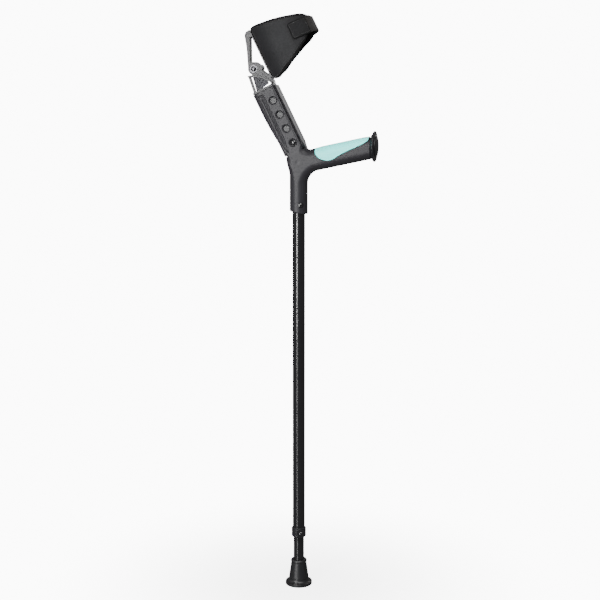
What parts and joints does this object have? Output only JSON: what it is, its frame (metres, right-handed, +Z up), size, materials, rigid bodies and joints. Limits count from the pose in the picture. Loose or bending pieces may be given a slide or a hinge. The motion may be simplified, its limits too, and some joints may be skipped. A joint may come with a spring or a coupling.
{
  "type": "forearm crutch",
  "caption": "Forearm crutch with a strapped, tilting and sliding arm cuff, a padded hand grip and a telescoping leg on a rubber ferrule.",
  "frame": {"origin": "centre of the ferrule's tread, on the tube's axis", "axes": "+Z up along the tube, +X the way the hand grip points (forwards), so the right-hand side of the crutch is -Y"},
  "size_m": [0.2313, 0.0882, 1.01],
  "materials": {
    "ferrule_rubber": "moulded black rubber, satin",
    "zinc_steel": "zinc plated",
    "tube_black": "gloss black coated aluminium tube",
    "plug_plastic": "acetal, natural moulded",
    "collar_plastic": "charcoal nylon, fine texture",
    "knob_plastic": "black, polished",
    "spring_steel": "bright drawn wire",
    "handle_plastic": "charcoal moulded plastic, fine texture",
    "palm_rubber": "turquoise soft rubber, stippled",
    "cap_plastic": "charcoal moulded plastic, satin",
    "stem_plastic": "charcoal glass-filled nylon, satin",
    "web_plastic": "blue-black moulded plastic",
    "button_plastic": "black, polished",
    "fastener_black": "black oxide steel",
    "bush_plastic": "natural acetal",
    "bracket_plastic": "charcoal glass-filled nylon, satin",
    "cuff_fabric": "knitted polyester laminated to foam, charcoal",
    "shell_plastic": "black polyethylene sheet",
    "lining_fabric": "soft black loop-knit lining over foam",
    "strap_fabric": "black nylon webbing",
    "tab_fabric": "black hook-backed tab"
  },
  "bodies": {
    "lower_leg": {"ferrule": "ferrule_rubber", "ferrule_washer": "zinc_steel", "lower_tube": "tube_black", "lower_tube_plug": "plug_plastic"},
    "shaft": {"upper_tube": "tube_black", "height_collar": "collar_plastic", "height_pin_spring": "spring_steel", "handle_body": "handle_plastic", "grip_pad": "palm_rubber", "grip_end_cap": "cap_plastic", "socket_rivet": "fastener_black"},
    "height_pin": {"height_pin": "knob_plastic"},
    "stem": {"cuff_stem": "stem_plastic", "stem_web": "web_plastic", "pivot_bush": "bush_plastic", "stem_button_spring": "spring_steel"},
    "stem_button": {"stem_button": "button_plastic"},
    "cuff": {"cuff_bracket": "bracket_plastic", "pivot_washer": "fastener_black", "pivot_screw": "fastener_black", "pivot_nut": "fastener_black", "cuff_rivets": "fastener_black", "cuff_cover": "cuff_fabric", "cuff_shell": "shell_plastic", "cuff_lining": "lining_fabric", "strap_anchor": "strap_fabric"},
    "strap": {"strap_webbing": "strap_fabric", "strap_hook_tab": "tab_fabric"}
  },
  "joints": [
    {"name": "height_adjust", "type": "slide", "parent": "lower_leg", "child": "shaft", "axis": [0, 0, 1], "range_m": [0, 0.15]},
    {"name": "height_pin_pull", "type": "slide", "parent": "shaft", "child": "height_pin", "axis": [0.454, -0.891, 0], "range_m": [0, 0.0031], "stiffness_N_per_m": 400, "springref_m": -0.004, "deforming": ["height_pin_spring"]},
    {"name": "cuff_height", "type": "slide", "parent": "shaft", "child": "stem", "axis": [-0.4462, 0, 0.8949], "range_m": [0, 0.0789], "deforming": ["stem_button"]},
    {"name": "stem_button_press", "type": "slide", "parent": "stem", "child": "stem_button", "axis": [0, 1, 0], "range_m": [0, 0.003], "stiffness_N_per_m": 400, "springref_m": -0.004, "deforming": ["stem_button_spring"]},
    {"name": "cuff_tilt", "type": "hinge", "parent": "stem", "child": "cuff", "pos_m": [-0.07721, 0, 0.92054], "axis": [0, -1, 0], "range_deg": [0, 40]},
    {"name": "strap_open", "type": "hinge", "parent": "cuff", "child": "strap", "pos_m": [0.01805, 0.02964, 0.9915], "axis": [-0.4462, 0, 0.8949], "range_deg": [0, 100]}
  ]
}
